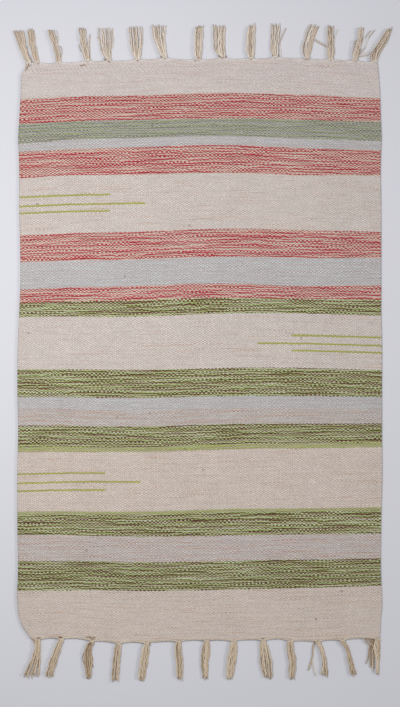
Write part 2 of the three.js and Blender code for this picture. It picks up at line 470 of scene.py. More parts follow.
class Finish:
    """A material with short ways to add and join its nodes."""

    def __init__(self, name, roughness, sheen):
        self.material = bpy.data.materials.new(name)
        self.material.use_nodes = True
        self.tree = self.material.node_tree
        self.shader = self.tree.nodes["Principled BSDF"]
        self.shader.inputs["Roughness"].default_value = roughness
        self.shader.inputs["Sheen Weight"].default_value = sheen
        self.shader.inputs["Sheen Roughness"].default_value = SHEEN_ROUGHNESS
        self.shader.inputs["Specular IOR Level"].default_value = SPECULAR

    def add(self, kind, **settings):
        node = self.tree.nodes.new(kind)
        for name, value in settings.items():
            setattr(node, name, value)
        return node

    def feed(self, socket, value):
        if isinstance(value, bpy.types.NodeSocket):
            self.tree.links.new(value, socket)
        else:
            socket.default_value = value

    def calc(self, operation, *values):
        node = self.add("ShaderNodeMath", operation=operation)
        for socket, value in zip(node.inputs, values):
            self.feed(socket, value)
        return node.outputs[0]

    def plus(self, first, second):
        return self.calc("ADD", first, second)

    def minus(self, first, second):
        return self.calc("SUBTRACT", first, second)

    def times(self, first, second):
        return self.calc("MULTIPLY", first, second)

    def over(self, value, limit):
        """One where the value is greater than the limit, else nought."""
        return self.calc("GREATER_THAN", value, limit)

    def scale(self, value, factor, offset):
        return self.calc("MULTIPLY_ADD", value, factor, offset)

    def wave(self, value, turns):
        return self.calc("COSINE", self.times(value, 2 * math.pi * turns))

    def root(self, value):
        return self.calc("SQRT", self.calc("MAXIMUM", value, 0.0))

    def map(self, name):
        node = self.add("ShaderNodeUVMap", uv_map=name)
        parts = self.add("ShaderNodeSeparateXYZ")
        self.feed(parts.inputs[0], node.outputs[0])
        return parts.outputs[0], parts.outputs[1]

    def place(self):
        """The point in the rug's frame, in metres."""
        return self.add("ShaderNodeTexCoord").outputs["Object"]

    def length_place(self):
        """How far along the rug the point lies, in metres."""
        parts = self.add("ShaderNodeSeparateXYZ")
        self.feed(parts.inputs[0], self.place())
        return parts.outputs[1]

    def point(self, x, y, z=0.0):
        node = self.add("ShaderNodeCombineXYZ")
        for socket, value in zip(node.inputs, (x, y, z)):
            self.feed(socket, value)
        return node.outputs[0]

    def chance(self, x, y):
        node = self.add("ShaderNodeTexWhiteNoise", noise_dimensions="2D")
        self.feed(node.inputs["Vector"], self.point(x, y))
        return node.outputs["Value"]

    def noise(self, vector, scale, detail):
        node = self.add("ShaderNodeTexNoise")
        self.feed(node.inputs["Vector"], vector)
        node.inputs["Scale"].default_value = scale
        node.inputs["Detail"].default_value = detail
        return node.outputs["Fac"]

    def slow_change(self, place, row, change):
        """Noise that changes slowly along a row and starts anew in each row."""
        pace, spacing, layer, detail = change
        at = self.point(self.times(place, pace), self.times(row, spacing), layer)
        return self.noise(at, 1.0, detail)

    def range(self, value, low, high, to_low, to_high):
        node = self.add("ShaderNodeMapRange", interpolation_type="SMOOTHSTEP")
        for socket, given in zip(node.inputs, (value, low, high, to_low, to_high)):
            self.feed(socket, given)
        return node.outputs[0]

    def mix(self, share, first, second, blend="MIX"):
        node = self.add("ShaderNodeMix", data_type="RGBA", blend_type=blend)
        for number, value in zip(MIX_INPUTS, (share, first, second)):
            self.feed(node.inputs[number], value)
        return node.outputs[MIX_OUTPUT]

    def steps(self, value, colours, count):
        """A colour for each number, held between the numbers."""
        node = self.add("ShaderNodeValToRGB")
        ramp = node.color_ramp
        ramp.interpolation = "CONSTANT"
        ramp.elements[0].color = colours[0]
        ramp.elements[1].position = 1 / count
        ramp.elements[1].color = colours[1]
        for number, colour in enumerate(colours[2:], start=2):
            ramp.elements.new(number / count).color = colour
        self.feed(node.inputs[0], value)
        return node.outputs[0]

    def vary(self, shade, by, tone):
        """A shade made lighter and darker; the tone is how much, and the lowest level."""
        return self.times(shade, self.scale(by, *tone))

    def colour_by(self, colour, shade):
        """Gives the surface a colour with a shade over it."""
        colour = self.mix(1.0, colour, self.point(shade, shade, shade), "MULTIPLY")
        self.feed(self.shader.inputs["Base Color"], colour)

    def aged(self, colour):
        """The undyed cotton is a little yellower towards the near end."""
        half = CLOTH_LENGTH / 2 * MM
        towards_far = self.range(self.length_place(), -half, half, 0.0, 1.0)
        tint = self.mix(towards_far, linear(NEAR_TINT), linear(FAR_TINT))
        return self.mix(1.0, colour, tint, "MULTIPLY")

    def raise_by(self, height, depth, strength):
        node = self.add("ShaderNodeBump")
        node.inputs["Strength"].default_value = strength
        node.inputs["Distance"].default_value = depth
        self.feed(node.inputs["Height"], height)
        self.feed(self.shader.inputs["Normal"], node.outputs[0])


# How the wefts lie: sideways zigzag of the beads, how much of a lone line shows past its own row,
# and how far a bead reaches into the next band
ZIGZAG = 0.06
LINE_SHOWS = 0.45
TOOTH_LENGTH = 0.72
NUMBER_SLACK = 0.01

# Slow changes along a pick: pace, spacing from row to row, layer of the noise, detail
ORDER_CHANGE = (0.06, 7.31, 0.0, 1.0)
WIDTH_CHANGE = (0.08, 3.17, 9.0, 2.0)
TONE_CHANGE = (0.2, 5.17, 0.0, 2.0)
STREAK_CHANGE = (0.14, 1.37, 5.0, 1.0)

# How the four strands lie round a bead, in turns
STRANDS = 4
ORDER_SWING = 2.2
LEAD_DRAW = 11.0
START_DRAW = 3.0
LEAD = 0.02
BEAD_DRAW = 0.5
BEAD_JITTER = 0.25
BEAD_TWIST = 0.05
MIDDLE_TURN = 0.87
MIDDLE_PULL = 0.08
SECOND_SHARE = 0.25
THIRD_ENDS = 0.76

# Shades: how much each lightens, and its lowest level
LONG_TONE = (0.16, 0.92)
STREAK_TONE = (0.13, 0.935)
BEAD_TONE = (0.10, 0.95)
# the crease tone is painted shade in the creases between a bead's strands
CREASE_SHADE = (-0.03, 0.97)
# the swell tone is painted light on each bead's crown and painted shade in the hollows between
# beads
SWELL_SHADE = (0.11, 0.995)
# the cloud tone is uneven tone of the cotton and also painted shade of the rug's low waves
CLOUD_TONE_AND_WAVE_SHADE = (0.12, 0.94)
FUZZ_TONE = (0.14, 0.93)
MOTTLE_TONE = (0.26, 0.87)

# Noises over the cloth: how many swells to a metre, detail
FUZZ_NOISE = (1400.0, 3.0)
PATCH_NOISE = (52.0, 1.0)
CLOUD_NOISE = (7.0, 2.0)
MOTTLE_NOISE = (170.0, 1.0)

SLUB_SHARE = 0.0005
SLUB_DRAW = (0.5, 0.25)
SLUB_DEPTH = 0.4
SLUB_COLOUR = (84, 62, 60)
DIP_POWER = 3.0
SOFT_END = 0.65
CREASE_DEPTH = 0.10
FUZZ_HEIGHT = 0.16
BEAD_RELIEF = 0.9
BEAD_STRENGTH = 0.8
# patches where the painted shade of the beads is stronger: from, to, and the strength at both
PATCH_RANGE = (0.36, 0.64, 0.5, 1.6)
# painted shade in the hollows between beads: from and to over the crown, and the shade at both
HOLLOW_SHADE_RANGE = (0.0, 0.80, 0.62, 1.06)


class Bead:
    """The bead of weft that a point lies in, and where in it. A bead is two pick rows deep."""

    def __init__(self, f):
        u, v = f.map("weave")
        warp, self.line = f.times(u, WARPS), f.times(v, PICKS)
        sway = f.times(f.wave(warp, 0.5), f.wave(f.minus(self.line, 1.0), 0.5))
        warp = f.scale(sway, ZIGZAG, warp)
        over = f.calc("FLOOR", warp)
        self.odd = f.calc("FLOORED_MODULO", over, 2.0)
        pair = f.calc("DIVIDE", f.minus(self.line, self.odd), 2.0)
        self.pick = f.scale(f.calc("FLOOR", pair), 2.0, self.odd)
        self.place = f.calc("DIVIDE", f.minus(over, self.odd), 2.0)
        self.along = f.minus(f.calc("FRACT", warp), 0.5)
        self.aside = f.minus(f.calc("FRACT", pair), 0.5)


def weft_number(f, bead):
    """The number of the weft that shows at a point."""
    here, before = f.map("draft")

    # A bead lies in its own pick's row and the one above it
    row = f.plus(f.calc("FLOOR", bead.line), bead.odd)
    is_before = f.calc("FLOORED_MODULO", row, 2.0)
    gap = f.minus(before, here)
    number = f.scale(is_before, gap, here)
    other = f.minus(f.plus(here, before), number)
    from_full = f.minus(f.minus(1.0, is_before), f.calc("FRACT", bead.line))
    from_full = f.calc("ABSOLUTE", from_full)

    # A line of two picks alone shows mostly in the row that both share
    line_number = (WEFT_NUMBER["line"] + 0.5) / WEFT_STOPS
    narrow = f.calc("COMPARE", number, line_number, NUMBER_SLACK)
    hidden = f.times(narrow, f.over(from_full, LINE_SHOWS))

    # Where two bands meet, a bead reaches into the other band with a round end
    beside_line = f.calc("COMPARE", other, line_number, NUMBER_SLACK)
    plain = f.minus(f.minus(1.0, narrow), beside_line)
    from_axis = f.times(bead.along, 2.0)
    tooth = f.calc("SQRT", f.minus(1.0, f.times(from_axis, from_axis)))
    hidden = f.scale(plain, f.over(from_full, f.times(tooth, TOOTH_LENGTH)), hidden)
    hidden = f.times(hidden, f.over(f.calc("ABSOLUTE", gap), NUMBER_SLACK))
    return f.scale(hidden, f.minus(other, number), number)


def weft_strand(f, bead, number):
    """Colour of the strand at a point, the strand's number, and how far round the bead it is."""
    colours = []
    for strand in range(STRANDS):
        colours.append(f.steps(number, [linear(weft[1 + strand]) for weft in WEFTS], WEFT_STOPS))
    shares = f.steps(number, [(share, swing / 2, 0, 1) for *_, share, swing in WEFTS], WEFT_STOPS)
    parts = f.add("ShaderNodeSeparateColor")
    f.feed(parts.inputs[0], shares)
    share, swing = parts.outputs[0], f.times(parts.outputs[1], 2.0)

    # The strands change places slowly along a pick, and show more or less of themselves
    order = f.slow_change(bead.place, bead.pick, ORDER_CHANGE)
    width = f.slow_change(bead.place, bead.pick, WIDTH_CHANGE)
    lead = f.times(f.minus(f.chance(bead.pick, LEAD_DRAW), 0.5), LEAD)
    turn = f.scale(bead.place, lead, f.chance(bead.pick, START_DRAW))
    turn = f.scale(order, ORDER_SWING, turn)
    turn = f.scale(f.chance(bead.pick, f.plus(bead.place, BEAD_DRAW)), BEAD_JITTER, turn)
    turn = f.scale(bead.along, BEAD_TWIST, turn)
    from_middle = f.times(f.minus(turn, MIDDLE_TURN), 2 * math.pi)
    turn = f.scale(f.calc("SINE", from_middle), -MIDDLE_PULL, turn)
    turn = f.calc("FRACT", f.plus(turn, bead.aside))
    first = f.scale(f.minus(width, 0.5), swing, share)
    colour, strand = colours[0], 0.0
    for limit, following in zip((first, f.plus(first, SECOND_SHARE), THIRD_ENDS), colours[1:]):
        passed = f.over(turn, limit)
        colour = f.mix(passed, colour, following)
        strand = f.plus(passed, strand)
    return colour, strand, turn


def weft_faced_cotton():
    """Packed cotton wefts over hidden warps: brick-laid beads, each of four strands."""
    f = Finish("weft_faced_cotton", roughness=0.94, sheen=0.12)
    bead = Bead(f)
    colour, strand, turn = weft_strand(f, bead, weft_number(f, bead))

    # Unevenness of dye and spinning, and small dark slubs
    thread = f.scale(bead.pick, STRANDS, strand)
    shade = f.scale(f.slow_change(bead.place, thread, TONE_CHANGE), *LONG_TONE)
    shade = f.vary(shade, f.slow_change(bead.place, bead.pick, STREAK_CHANGE), STREAK_TONE)
    shade = f.vary(shade, f.chance(thread, bead.place), BEAD_TONE)
    draw = [f.plus(value, offset) for value, offset in zip((bead.pick, bead.place), SLUB_DRAW)]
    slub = f.over(f.chance(*draw), 1 - SLUB_SHARE)
    colour = f.mix(f.times(slub, SLUB_DEPTH), colour, linear(SLUB_COLOUR))

    # Each bead is a small cushion that dives under its neighbours, creased between its strands
    end_dip = f.calc("POWER", f.times(f.calc("ABSOLUTE", bead.along), 2.0), DIP_POWER)
    side_dip = f.calc("POWER", f.times(f.calc("ABSOLUTE", bead.aside), 2.0), DIP_POWER)
    across = f.minus(1.0, side_dip)
    crown = f.root(f.times(f.minus(1.0, end_dip), across))
    crease = f.wave(turn, STRANDS)
    fuzz = f.noise(f.place(), *FUZZ_NOISE)
    along_rug = f.length_place()
    far_calm = f.range(along_rug, *[place * MM for place in FAR_CALM], 1.0, CALM)
    near_calm = f.range(along_rug, *[place * MM for place in NEAR_CALM], CALM, 1.0)
    calm = f.times(far_calm, near_calm)
    height = f.times(f.scale(crease, -CREASE_DEPTH, crown), calm)
    f.raise_by(f.scale(fuzz, FUZZ_HEIGHT, height), BEAD_RELIEF * MM, BEAD_STRENGTH)

    # Painted shade in the hollows between beads and painted light on their crowns, stronger in some
    # patches of the cloth than in others
    patch = f.times(f.range(f.noise(f.place(), *PATCH_NOISE), *PATCH_RANGE), calm)
    soft_crown = f.root(f.times(f.scale(end_dip, -SOFT_END, 1.0), across))
    depth = f.minus(f.range(soft_crown, *HOLLOW_SHADE_RANGE), 1.0)
    shade = f.times(shade, f.scale(depth, patch, 1.0))
    # painted shade in the creases between the strands
    shade = f.vary(shade, crease, CREASE_SHADE)
    swell_shade = f.times(f.wave(bead.along, 0.5), f.wave(bead.aside, 1.0))
    shade = f.vary(shade, f.times(swell_shade, patch), SWELL_SHADE)
    # Slow clouds of uneven tone, which also stand in as painted shade of the rug's low waves; then
    # fibre fuzz and mottle of the yarn's own tone
    shade = f.vary(shade, f.noise(f.place(), *CLOUD_NOISE), CLOUD_TONE_AND_WAVE_SHADE)
    shade = f.vary(shade, fuzz, FUZZ_TONE)
    shade = f.vary(shade, f.noise(f.place(), *MOTTLE_NOISE), MOTTLE_TONE)
    f.colour_by(colour, shade)
    return f.material


FLOOR_COLOUR = (210, 210, 216)


def pale_floor():
    """A plain pale floor."""
    f = Finish("pale_floor", roughness=0.9, sheen=0.0)
    f.shader.inputs["Base Color"].default_value = linear(FLOOR_COLOUR)
    return f.material


# Yarn measures in millimetres
YARN_RADIUS = 1.25
STRAY_RADIUS = 0.95
YARN_STEP = 1.2
YARN_PLIES = 3
YARN_TWIST = 11.0
PLY_DEPTH = 0.1
YARN_TIP = 0.55
TIP_LENGTH = 4
FLOOR_GAP = 0.05
YARN_MAP_LENGTH = 400
YARN_REACH = 100
PATH_DETAIL = 16
MIN_STEPS = 4
UPRIGHT = 0.1
FACE_CORNERS = 4

# A tassel's yarns, in layers, from the cloth's edge into the knot
LAYERS = 3
HUG_LENGTH = 8
WARP_START = ((-3.0, 2.6), (-0.6, 2.6))
GATHER_BEYOND = 9
GATHER_STEP = 0.3
GATHER_HEIGHT = 2.2
GATHER_RISE = 0.7
LAYER_HEIGHT = 1.3
LAYER_RISE = 1.9
KNOT_PACKING = 0.82
KNOT_PASS = ((1.0, 2.2), (0.95, 5.2), (1.05, 8.4))

# The knot: single turns of yarn whose ends are tucked in
KNOT_HALF_WIDTH = 6.6
KNOT_HALF_HEIGHT = 2.6
KNOT_MIDDLE = 3.8
KNOT_TURNS = 3
KNOT_OUT = 1.8
KNOT_SPACING = 1.9
KNOT_SLANT = 1.4
KNOT_POINTS = 15
KNOT_FROM = -0.7
KNOT_TO = 2 * math.pi + 0.5
TUCK = 0.72
TUCK_ANGLE = 0.7
KNOT_TIP = 0.9
KNOT_TONES = (0.1, 0.5)

# The free part: it falls into locks, and each yarn sways a little
FAR_LENGTH = 85
NEAR_LENGTH = 97
LENGTH_SPREAD = 3.0
FREE_FROM = 13.5
FREE_STEP = 6.5
LOCKS = 5
FAR_CLUMPING = 0.32
NEAR_CLUMPING = 0.3
PLACE_SPREAD = 0.05
YARN_INSET = 1.0
SWAYS = (0.3, 1.1)
SECOND_SWAY = 0.3
HEIGHT_SWAY = 0.25
SWAY_LENGTHS = (31, 13, 17)
FREE_HEIGHT = 1.2
FREE_RISE = 1.7
LOWEST = 1.15
LOCK_FADE = (10, 50)
SWAY_FADE = (8, 25)
SETTLE_FADE = (10, 45)
# How far the yarn tone spreads: lower layers are painted darker, a painted shade under the yarns
# above, and each yarn also differs at random
FAR_LAYER_SHADE_AND_TONE = 0.14
NEAR_LAYER_SHADE_AND_TONE = 0.16

# The twined cords along the ends: distance from the edge and height of each
HEADING_CORDS = [(1.3, 3.9), (3.9, 5.0)]
HEADING_RADIUS = 1.5
HEADING_STEP = 1.8
HEADING_PLIES = 2
HEADING_TWIST = 9.0
HEADING_INSET = 0.6
HEADING_POINTS = 160
FRINGE_INSET = 0.8

YARN_LIGHT = (243, 233, 219)
YARN_DARK = (193, 173, 148)
KNOT_COLOUR = (183, 177, 169)
# the edge colour is painted light, which lifts the gathered yarns out of their shade at the cloth's
# edge
EDGE_PAINTED_LIGHT = (236, 228, 220)
# the tuck colour is a painted shadow: dark brown for the shade under knots, folds and crossing
# strands
TUCK_SHADOW_COLOUR = (140, 98, 76)
HEADING_LIGHT = (228, 220, 214)
HEADING_DARK = (216, 204, 196)

# Tassels: root across, number of warp ends, tone, then how far the left and the right side lie
# from the root at each station out from the cloth. The knot is a station before them
KNOT_STATION = 4
STATIONS = (24, 56, 92)
FAR_TASSELS = [
    (-439, 17, 0.66, (-16, 0), (-28, -5), (-41, -9)),
    (-418, 16, 0.70, (-12, 4), (-21, -1), (-24, -4)),
    (-361, 16, 0.68, (-10, 4), (-19, -4), (-34, -13)),
    (-289, 16, 0.62, (-11, 5), (-17, -1), (-21, -3)),
    (-233, 12, 0.45, (-19, 7), (-27, 10), (-28, 10)),
    (-159, 20, 0.50, (-16, 11), (-22, 13), (-25, 11)),
    (-90, 18, 0.48, (-17, 4), (-30, 1), (-36, 5)),
    (-4, 17, 0.52, (-10, 10), (-10, 12), (-8, 14)),
    (58, 20, 0.45, (-20, 8), (-23, 8), (-24, 10)),
    (131, 16, 0.54, (-12, 10), (-11, 11), (-7, 12)),
    (193, 13, 0.44, (-13, 9), (-13, 12), (-12, 16)),
    (274, 14, 0.51, (-13, 13), (-7, 20), (6, 36)),
    (334, 16, 0.64, (-9, 10), (-9, 9), (-8, 9)),
    (397, 13, 0.58, (-4, 12), (6, 19), (9, 24)),
    (447, 16, 0.66, (-7, 15), (13, 35), (37, 46)),
]
NEAR_TASSELS = [
    (-415, 21, 0.60, (-8, 8), (-19, 9), (-38, 8)),
    (-355, 17, 0.55, (-15, 1), (-28, -8), (-39, -19)),
    (-277, 16, 0.84, (-17, 1), (-20, 2), (-14, -1)),
    (-208, 17, 0.62, (-12, 6), (-16, 3), (-19, 0)),
    (-136, 17, 0.48, (-13, 7), (-19, 3), (-23, -4)),
    (-55, 17, 0.60, (-10, 9), (-7, 12), (-5, 11)),
    (17, 17, 0.56, (-12, 11), (-14, 7), (-10, 5)),
    (87, 18, 0.50, (-12, 9), (-17, 5), (-19, -2)),
    (162, 21, 0.50, (-9, 14), (-11, 23), (-1, 24)),
    (231, 17, 0.62, (-9, 10), (-4, 14), (-4, 11)),
    (303, 12, 0.50, (3, 15), (10, 23), (5, 27)),
    (365, 14, 0.74, (7, 17), (14, 26), (21, 37)),
    (454, 12, 0.50, (-12, 9), (-5, 7), (-3, 5)),
]

# Bundles trimmed shorter than the rest: tassel of the near end, by how much
NEAR_TRIMMED = {11: 6, 12: 8, 13: 6}

# Single yarns that left their bundle or lie over it: tassel, tone (light 0, dark 1, brown 1.5),
# height where they start and end, then their places beside the root and out from the cloth
# Tones above 1 turn a stray dark brown, a painted shadow under knots, folds and crossing strands
FAR_STRAYS = [
    (1, 0.2, 1.3, 1.3, (-12, -20), (-9, -12), (-7, -4), (-4, 3)),
    (1, 0.4, 1.5, 1.5, (-10, -18), (-7, -11), (-5, -4), (-2, 3)),
    (1, 0.1, 1.8, 3.0, (-6, -14), (-4, -9), (-2, -3), (0, 3)),
    (1, 1.4, 5.9, 4.5, (-6, -16), (-3, -10), (1, -3), (3, 2)),
    (1, 0.3, 2.4, 3.0, (0, -9), (2, -5), (4, -1), (4, 3)),
    (1, 0.7, 1.3, 1.3, (11, 3), (6, 15), (0, 28), (-3, 46)),
    (2, 1.3, 6.8, 6.6, (3, -1), (8, 1)),
    (3, 0.9, 1.3, 1.8, (4, 10), (8, 26), (7, 41), (0, 47)),
    (3, 0.5, 1.4, 1.4, (-4, 49), (0, 61), (-2, 77), (-6, 87)),
    (4, 0.8, 1.3, 1.3, (8, 8), (8, 26), (7, 44), (8, 62), (9, 72)),
    (4, 0.0, 1.4, 1.4, (4, 12), (5, 28), (4, 46), (4, 64)),
    (4, 0.9, 1.8, 1.8, (-14, 26), (-18, 35), (-20, 45)),
    (4, 1.5, 5.9, 5.9, (-17, -9), (-9, -8), (-1, -8)),
    (4, 1.5, 5.0, 4.6, (0, 2), (4, 2), (7, 4)),
    (4, 0.0, 4.6, 3.0, (6, 1), (11, 3), (10, 7)),
    (5, 0.3, 1.3, 1.3, (-15, 20), (-21, 40), (-29, 63)),
    (5, 0.2, 1.3, 1.3, (6, 25), (13, 45), (13, 61), (7, 71)),
    (5, 1.5, 4.6, 5.6, (-13, 7), (-7, 2), (5, -2)),
    (6, 1.4, 5.6, 5.6, (-4, 1), (0, -1), (3, 0)),
    (7, 1.5, 4.4, 5.4, (-11, 7), (-6, 3), (-1, 1)),
    (7, 1.4, 5.4, 4.6, (2, 1), (8, 2)),
    (8, 0.3, 6.4, 8.0, (-18, -6), (-12, -2), (-4, 3), (4, 8)),
    (8, 1.5, 7.2, 7.4, (-10, -2), (-5, 1)),
    (8, 1.5, 8.4, 7.6, (0, 5), (5, 9)),
    (9, 1.4, 4.8, 8.2, (-12, 9), (-7, 6), (-1, 4), (5, 5)),
    (9, 0.0, 4.0, 5.0, (-11, 3), (-2, 5), (8, 4)),
    (9, 1.4, 5.0, 4.6, (8, 3), (11, 9)),
    (10, 1.4, 5.6, 5.6, (-6, 1), (-1, 0)),
    (11, 0.1, 1.3, 1.3, (15, 4), (14, 22), (12, 42), (13, 58), (16, 73)),
    (11, 0.9, 1.5, 1.5, (11, 37), (16, 51), (24, 68), (28, 78)),
    (11, 1.5, 5.0, 4.8, (-5, 3), (-7, 10)),
    (11, 1.4, 5.0, 4.8, (7, 4), (8, 11)),
    (12, 0.9, 3.0, 1.3, (14, 53), (24, 46), (35, 40), (50, 31)),
    (12, 0.2, 3.4, 1.8, (15, 55), (26, 48), (37, 42), (50, 34)),
    (12, 1.2, 5.6, 5.6, (-9, -1), (0, -2), (7, -1)),
    (13, 0.2, 1.3, 1.3, (9, 9), (12, 22), (10, 40), (12, 58), (18, 73), (21, 81)),
    (13, 1.2, 5.6, 5.6, (-4, 0), (2, 0)),
    (14, 1.1, 5.0, 5.2, (-6, 19), (-3, 35), (-2, 45), (2, 54), (7, 48), (4, 37), (-1, 26)),
    (14, 0.1, 1.3, 1.3, (8, 12), (21, 27), (28, 40), (33, 54), (37, 63)),
    (14, 0.0, 2.4, 1.3, (12, 33), (19, 48), (28, 63)),
    (14, 0.8, 1.6, 1.3, (9, 14), (22, 29), (29, 41)),
    (14, 0.9, 1.3, 1.3, (26, 60), (36, 73), (42, 80)),
    (14, 1.0, 1.3, 1.3, (35, 60), (46, 74), (52, 81)),
    (14, 0.8, 2.0, 1.3, (8, 11), (23, 14), (39, 18)),
    (14, 0.3, 2.0, 1.6, (16, 16), (28, 22), (39, 23)),
    (14, 1.1, 5.3, 4.6, (7, 19), (12, 25), (17, 32)),
    (15, 1.1, 4.6, 5.0, (-10, 5), (-11, 15), (-8, 26), (-3, 32), (3, 30)),
    (15, 0.1, 4.4, 4.8, (-8, 4), (-8, 14), (-6, 23), (-3, 29)),
    (15, 1.5, 5.4, 5.2, (-3, 2), (-4, 13)),
    (15, 1.4, 5.4, 5.2, (2, 27), (7, 42)),
]
# Here too, tones above 1 are a painted shadow in dark brown
NEAR_STRAYS = [
    (1, 1.3, 6.9, 6.7, (0, -1), (4, -2), (9, 0)),
    (1, 0.3, 1.6, 1.4, (-18, -2), (-14, 4), (-11, 9), (-8, 15), (-6, 24)),
    (1, 0.6, 2.0, 1.6, (-15, -1), (-11, 4), (-8, 9), (-5, 16)),
    (1, 0.5, 2.6, 2.4, (-12, 0), (-8, 4), (-5, 10)),
    (2, 1.5, 6.9, 6.9, (-6, -1), (-2, -2), (3, -1)),
    (2, 1.4, 7.0, 7.0, (-4, 0), (0, 0), (3, 0)),
    (3, 0.8, 1.4, 1.4, (-3, 31), (3, 49), (2, 60), (6, 72)),
    (3, 1.3, 6.9, 6.9, (-14, -4), (-8, -6), (-2, -4)),
    (3, 1.2, 6.7, 6.5, (-5, -7), (3, -6), (10, -9)),
    (3, 1.2, 6.9, 6.9, (-1, -3), (5, -3), (9, -5)),
    (3, 1.4, 6.9, 6.4, (-6, 9), (-3, 13), (1, 12)),
    (3, 0.7, 1.8, 1.8, (-14, 24), (-21, 38), (-24, 48), (-21, 58), (-17, 66)),
    (4, 1.3, 4.8, 4.6, (5, 2), (7, 6)),
    (5, 0.1, 2.6, 2.6, (-26, 0), (-16, 2), (-6, 2)),
    (5, 1.3, 5.8, 5.4, (8, 1), (9, 9)),
    (6, 1.4, 5.0, 4.8, (4, 0), (8, 1)),
    (7, 1.3, 5.0, 5.0, (-9, 0), (-4, 1)),
    (7, 1.3, 5.0, 5.0, (6, 0), (11, 0)),
    (9, 1.4, 5.9, 5.9, (-3, -2), (4, -3)),
    (11, 0.8, 1.3, 1.3, (-9, 4), (-14, 17), (-15, 37), (-20, 58), (-26, 78)),
    (11, 0.3, 1.3, 1.3, (-7, 4), (-12, 17), (-13, 37), (-18, 58), (-22, 74)),
    (11, 0.3, 1.3, 1.3, (-16, 50), (-12, 70), (-6, 92)),
    (11, 1.4, 5.0, 4.0, (-11, -1), (-10, 5)),
    (11, 1.2, 4.8, 4.6, (3, 3), (4, 8)),
    (13, 1.1, 5.2, 3.4, (-31, 2), (-23, 8), (-12, 20), (-5, 30)),
    (13, 1.0, 4.6, 3.0, (-24, 1), (-18, 9), (-9, 22), (-4, 36)),
    (13, 1.1, 5.2, 3.4, (-4, 2), (-10, 10), (-18, 22), (-20, 33)),
    (13, 0.8, 4.0, 2.6, (-15, 1), (-11, 11), (-13, 24), (-15, 40)),
    (13, 0.9, 4.4, 1.3, (-33, 4), (-25, 15), (-13, 26), (-9, 44), (-8, 79)),
    (13, 0.4, 5.4, 5.4, (-25, 3), (-16, 16), (-3, 29), (-1, 54), (-2, 86)),
    (13, 0.7, 5.8, 1.6, (1, 3), (-7, 16), (-17, 29), (-18, 54), (-17, 78)),
    (13, 1.1, 3.6, 1.3, (-10, 3), (-15, 14), (-20, 26), (-23, 48), (-29, 68)),
    (13, 0.2, 5.9, 2.4, (3, 5), (-3, 18), (-12, 33), (-12, 80)),
    (13, 0.6, 3.0, 1.3, (-34, 1), (-28, 10), (-20, 22), (-20, 50), (-18, 76)),
    (13, 1.3, 1.4, 1.4, (-22, 0), (-20, 10), (-15, 20), (-13, 40), (-14, 62)),
    (13, 1.4, 2.2, 2.2, (-28, -1), (-22, 7), (-16, 14), (-9, 22), (-10, 36)),
    (13, 1.2, 2.6, 1.4, (-9, 0), (-14, 10), (-17, 20), (-16, 46), (-15, 72)),
    (13, 0.5, 1.6, 1.4, (-18, 0), (-14, 14), (-10, 30), (-11, 60), (-10, 88)),
    (13, 1.3, 4.6, 4.0, (-12, 2), (-8, 9), (-11, 19), (-15, 27)),
]


def run_along(path):
    """Length of a path up to each of its points."""
    return np.concatenate(([0], np.cumsum(np.linalg.norm(np.diff(path, axis=0), axis=1))))


def smooth_path(points, step):
    """Evenly spaced points along a smooth curve through given points."""
    points = np.asarray(points, float)
    gaps = np.sqrt(np.linalg.norm(np.diff(points, axis=0), axis=1))
    knots = np.concatenate(([0], np.cumsum(gaps)))
    fine = np.linspace(0, knots[-1], PATH_DETAIL * len(points))
    dense = np.stack([smooth_line(knots, points[:, axis], fine) for axis in range(3)], axis=1)
    run = run_along(dense)
    at = np.linspace(0, run[-1], max(MIN_STEPS, round(run[-1] / step)) + 1)
    return np.stack([np.interp(at, run, dense[:, axis]) for axis in range(3)], axis=1)


def across_path(path):
    """Two unit vectors across a path at each point, which don't turn about it."""
    ahead = np.gradient(path, axis=0)
    ahead /= np.linalg.norm(ahead, axis=1, keepdims=True)
    side = np.empty_like(path)
    start = np.cross(ahead[0], (0, 0, 1))
    if np.linalg.norm(start) < UPRIGHT:
        start = np.array((1.0, 0, 0))
    side[0] = start / np.linalg.norm(start)
    for i in range(1, len(path)):
        turned = side[i - 1] - ahead[i] * np.dot(side[i - 1], ahead[i])
        side[i] = turned / np.linalg.norm(turned)
    return side, np.cross(ahead, side)


